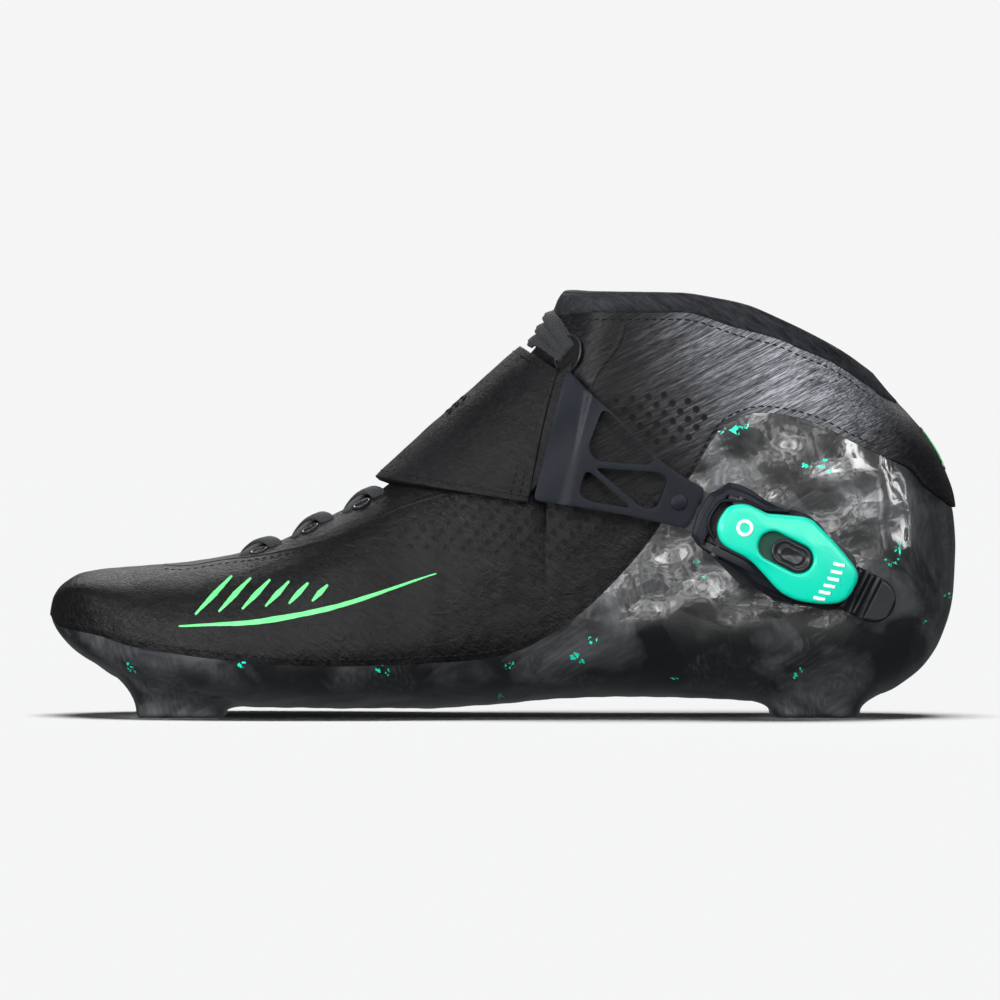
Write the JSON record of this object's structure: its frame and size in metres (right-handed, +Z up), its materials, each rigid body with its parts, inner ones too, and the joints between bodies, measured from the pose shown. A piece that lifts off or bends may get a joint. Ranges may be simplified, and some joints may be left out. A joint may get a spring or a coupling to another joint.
{
  "type": "speed-skating boot",
  "caption": "Low-cut carbon speed-skating boot with leather upper, laces, and an instep strap pulled tight by a ratchet buckle; takes a two-bolt skate frame.",
  "frame": {"origin": "centre of the two-bolt frame mount, on the plane of the two mounting faces", "axes": "+X from toe to heel, +Y towards the inner side of this left boot, +Z up"},
  "size_m": [0.282, 0.0986, 0.1325],
  "materials": {
    "forged_carbon": "clear-coated forged carbon with small green flecks",
    "black_leather": "satin fine-grain leather",
    "padding": "padded textile",
    "lace_cord": "braided flat cord",
    "steel": "brushed",
    "spreader_plastic": "matte moulded",
    "black_plastic": "satin moulded",
    "green_lever": "gloss"
  },
  "bodies": {
    "boot": {"carbon_shell": "forged_carbon", "front_mount_block": "forged_carbon", "rear_mount_block": "forged_carbon", "front_threaded_insert": "steel", "rear_threaded_insert": "steel", "insole": "padding", "ankle_padding": "padding", "tongue": "padding", "vamp": "black_leather", "outer_ankle_panel": "black_leather", "inner_ankle_panel": "black_leather", "heel_tab": "black_leather", "collar_band": "black_leather", "eyelets": "steel", "laces": "lace_cord", "strap_anchor": "spreader_plastic", "anchor_rivets": "steel", "buckle_pad": "black_plastic", "buckle_base": "black_plastic", "buckle_screws": "steel", "buckle_tee_nuts": "steel", "lever_pin": "steel", "lever_spring": "steel", "hold_pawl_pin": "steel", "hold_pawl_spring": "steel"},
    "strap": {"instep_strap": "black_leather", "strap_spreader": "spreader_plastic", "ladder_strap": "black_plastic", "spreader_rivet": "steel"},
    "lever": {"buckle_lever": "black_plastic", "lever_cover": "green_lever", "drive_pawl_pin": "steel"},
    "drive_pawl": {"drive_pawl": "steel"},
    "hold_pawl": {"hold_pawl": "steel"},
    "button": {"release_button": "black_plastic"}
  },
  "joints": [
    {"name": "ladder_slide", "type": "slide", "parent": "boot", "child": "strap", "axis": [-0.8944, 0, 0.4473], "range_m": [0, 0.009]},
    {"name": "lever_hinge", "type": "hinge", "parent": "boot", "child": "lever", "pos_m": [0.07071, -0.0443, 0.0593], "axis": [-0.4473, 0, -0.8944], "range_deg": [0, 35], "stiffness_Nm_per_rad": 0.02, "springref_deg": -17.19},
    {"name": "drive_pawl_hinge", "type": "hinge", "parent": "lever", "child": "drive_pawl", "pos_m": [0.07563, -0.044, 0.05684], "axis": [-0.4473, 0, -0.8944], "range_deg": [0, 12], "stiffness_Nm_per_rad": 0.002, "springref_deg": -17.19},
    {"name": "button_press", "type": "slide", "parent": "lever", "child": "button", "axis": [0, 1, 0], "range_m": [0, 0.0015], "stiffness_N_per_m": 300, "springref_m": -0.001},
    {"name": "hold_pawl_hinge", "type": "hinge", "parent": "boot", "child": "hold_pawl", "pos_m": [0.09307, -0.043, 0.04812], "axis": [-0.4473, 0, -0.8944], "range_deg": [0, 17.5]}
  ],
  "couplings": [
    {"joint": "hold_pawl_hinge", "follows": "button_press", "rad_per_m": 200}
  ]
}
